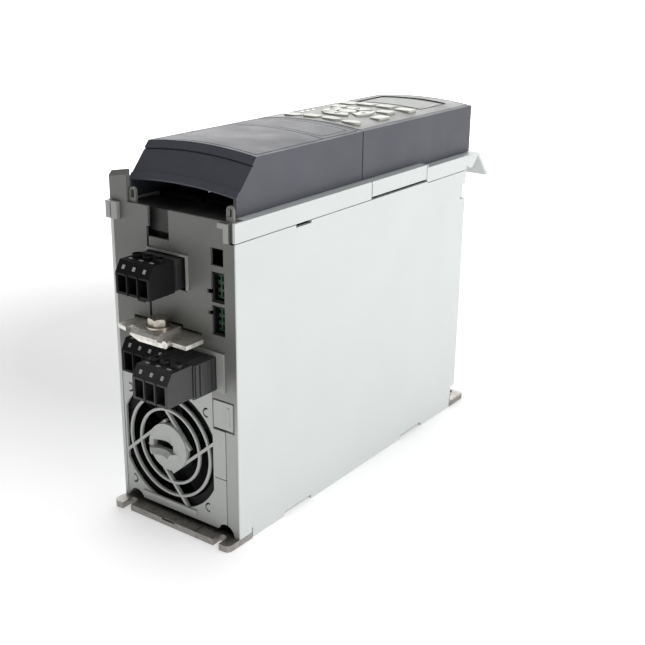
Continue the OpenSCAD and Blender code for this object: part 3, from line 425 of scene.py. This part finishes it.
def plug_details():
    for name, (x0, x1, z0, z1, front_y, face_h, count, tile_d, body) in PLUGS.items():
        band_low = z0 + face_h
        tilt = math.degrees(math.atan2(RAKE, z1 - band_low))
        marks = Shape()
        cages = Shape()
        for i in range(count):
            x = (x0 + x1) / 2 + (i - (count - 1) / 2) * POLE_PITCH
            # name tiles on the raked band and behind its upper edge
            marks.block((x - 0.4, front_y + RAKE / 2 + 0.2, (band_low + z1) / 2 - 0.1), NAME_TILE,
                        -tilt)
            marks.block((x - 0.8, front_y + tile_d, z1), NUMBER_TILE, rounding=0.08)
            # clamp at the bottom of the wire entry
            mid_z = z0 + 1.4 + (face_h - 2.4) / 2
            cages.block((x, front_y + 7.4, mid_z - 0.6), (CLAMP_WIDTH, CLAMP_DEPTH, face_h - 5.4))
            cages.disc((x, front_y + 6.9, mid_z + 0.4), CLAMP_SCREW_R, SCREW_HEIGHT, 24)
        marks.finish(name + "_plug_marks", "mark", body, "key_cap")
        cages.finish(name + "_plug_cages", "cage", body, "steel")


def socket_details():
    ribs = Shape()
    for y in (-129.2, -126.8):
        ribs.block((8.25, y, 151.6), (0.9, 0.9, 12.8))
    for y in (-141.2, -137.6, -128.4):
        ribs.block((31.4, y, 102.0), (0.8, 1.0, 17.6))
    for x in (9.6, 17.4, 25.2):
        ribs.block((x, -133.6, 111.5), (1.0, 16.0, 0.8))
    ribs.finish("socket_ribs", "socket", "chassis", "black_plastic")


# x0, x1 of the relay ports, and body, z0, z1 of each port
RELAY_X = (28.2, 37.2)
RELAY_PORTS = (("relay_connector_upper", 141.5, 158.3), ("relay_connector_lower", 123.3, 139.8))
RELAY_PITCH = 4.2
RELAY_SCREW_R = 0.95


def relay_details():
    mid_x = sum(RELAY_X) / 2
    for body, z0, z1 in RELAY_PORTS:
        mid_z = (z0 + z1) / 2
        heads = Shape()
        for k in (-1, 0, 1):
            heads.disc((mid_x - 1.8, NEAR_Y + 5.2, mid_z + k * RELAY_PITCH), RELAY_SCREW_R,
                       SCREW_HEIGHT, 20)
            heads.block((mid_x + 1.4, NEAR_Y + 6.4, mid_z + k * RELAY_PITCH), (1.9, 0.5, 0.7),
                        rounding=0.1)
        heads.finish(body.replace("connector", "plug") + "_screws", "cage", body, "steel")


# crown of the dark covers and of the control panel
CROWN = 2.7
CROWN_HALF = 38.5
CROWN_R = (CROWN_HALF * CROWN_HALF + CROWN * CROWN) / (2 * CROWN)
CROWN_TOP = 218.0
RING_Y = 39.6       # middle of the ring of arrow keys


def crown_z(x):
    return CROWN_TOP - CROWN_R + math.sqrt(CROWN_R * CROWN_R - x * x)


def key_glyphs():
    """A raised triangle on each arrow key."""
    tip = 14.2
    base = 11.2
    half = 2.0
    for name, degrees in (("right_key", 0), ("up_key", 90), ("left_key", 180), ("down_key", 270)):
        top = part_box(name)[1].z / MM
        a = math.radians(degrees)
        outline = []
        for along, across in ((tip, 0.0), (base, half), (base, -half)):
            outline.append((along * math.cos(a) - across * math.sin(a),
                            RING_Y + along * math.sin(a) + across * math.cos(a)))
        glyph = Shape()
        glyph.prism(outline, top - 0.2, top + 0.18, 0.06)
        glyph.finish(name.replace("key", "glyph"), "glyph", name + "_body", "panel_shell")


def display_frame():
    """A dark gasket line round the display window."""
    half_w, half_l, mid_y = 26.0, 17.0, 102.5
    corner = 1.2
    steps = 12
    across = [-half_w + corner + (2 * half_w - 2 * corner) * i / steps for i in range(steps + 1)]
    points = [(x, mid_y - half_l) for x in across]
    points += [(half_w, mid_y - half_l + corner), (half_w, mid_y + half_l - corner)]
    points += [(-x, mid_y + half_l) for x in across]
    points += [(-half_w, mid_y + half_l - corner), (-half_w, mid_y - half_l + corner)]
    line = Shape()
    line.loop([(x, y, crown_z(x) - 0.15) for x, y in points], 0.42, 8)
    line.finish("display_gasket", "black", "panel", "black_plastic")


MATERIALS["mark"] = plastic("print_tile", (0.42, 0.42, 0.41), 0.5, 0.10, 0.0004, 0.00001)
MATERIALS["glyph"] = plastic("glyph_ink", (0.10, 0.10, 0.10), 0.5, 0.10, 0.0004, 0.00001)
MATERIALS["cage"] = metal("clamp_cage", (0.42, 0.41, 0.39), 0.35, (0.10, 0.08, 0.06), 0.5)

plug_details()
socket_details()
relay_details()
key_glyphs()
display_frame()

# ---- floor and light -----------------------------------------------------------------------------


# The floor paper glows by emission: weakly round the drive as a painted shadow, fully far from it to stay
# evenly white.
PAINTED_SHADOW_MIDDLE = (-0.20, 0.08, 0.0)
PAINTED_SHADOW_GLOW = 0.18
GLOW_FAR = 1.0
PAINTED_SHADOW_START = 0.12       # distances from the middle between which the glow rises out of the painted shadow
PAINTED_SHADOW_END = 0.48
FLOOR_HALF = 20.0
FLOOR_GAP = 0.0002      # below the mounting plate
WORLD_LEVEL = 0.22
LIGHT_TARGET = (0.0, 0.0, 0.1)
# place, width, height and power of each soft box
SOFT_BOXES = {
    "key_light": ((1.9, 0.35, 0.5), 1.8, 1.4, 21.5),
    "back_light": ((-1.5, 2.3, 1.15), 4.2, 1.5, 62.0),
    "top_light": ((0.1, 0.3, 2.2), 2.2, 2.2, 14.0),
}


def make_floor():
    n = Nodes("floor_paper")
    tone = n.mix(n.noise(0.5, 2.0), (0.80, 0.80, 0.80, 1.0), (0.84, 0.84, 0.84, 1.0))
    reach = n.add("ShaderNodeVectorMath", {0: n.coords, 1: PAINTED_SHADOW_MIDDLE}, operation="DISTANCE")
    # painted shadow: the floor's emission is lowered near the drive
    glow_with_painted_shadow = n.remap(reach.outputs["Value"], PAINTED_SHADOW_START, PAINTED_SHADOW_END, PAINTED_SHADOW_GLOW, GLOW_FAR)
    paper = n.finish(Base_Color=tone, Roughness=0.7, Emission_Color=tone, Emission_Strength=glow_with_painted_shadow,
                     Normal=n.bump(n.noise(0.002), 0.00002))
    mesh = bpy.data.meshes.new("floor")
    corners = [(sx * FLOOR_HALF, sy * FLOOR_HALF, 0) for sx, sy in ((-1, -1), (1, -1), (1, 1), (-1, 1))]
    mesh.from_pydata(corners, [], [(0, 1, 2, 3)])
    mesh.materials.append(paper)
    floor = bpy.data.objects.new("floor", mesh)
    bpy.context.scene.collection.objects.link(floor)
    floor.location.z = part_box("base_plate")[0].z - FLOOR_GAP


def soft_box(name, place, width, height, power):
    data = bpy.data.lights.new(name, "AREA")
    data.shape = "RECTANGLE"
    data.size = width
    data.size_y = height
    data.energy = power
    lamp = bpy.data.objects.new(name, data)
    bpy.context.scene.collection.objects.link(lamp)
    lamp.location = place
    aim = Vector(LIGHT_TARGET) - Vector(place)
    lamp.rotation_euler = aim.to_track_quat("-Z", "Y").to_euler()


def make_light():
    world = bpy.data.worlds.new("studio")
    world.use_nodes = True
    background = world.node_tree.nodes["Background"]
    background.inputs["Color"].default_value = (1.0, 1.0, 1.0, 1.0)
    background.inputs["Strength"].default_value = WORLD_LEVEL
    bpy.context.scene.world = world
    for name, (place, width, height, power) in SOFT_BOXES.items():
        soft_box(name, place, width, height, power)


make_floor()
make_light()
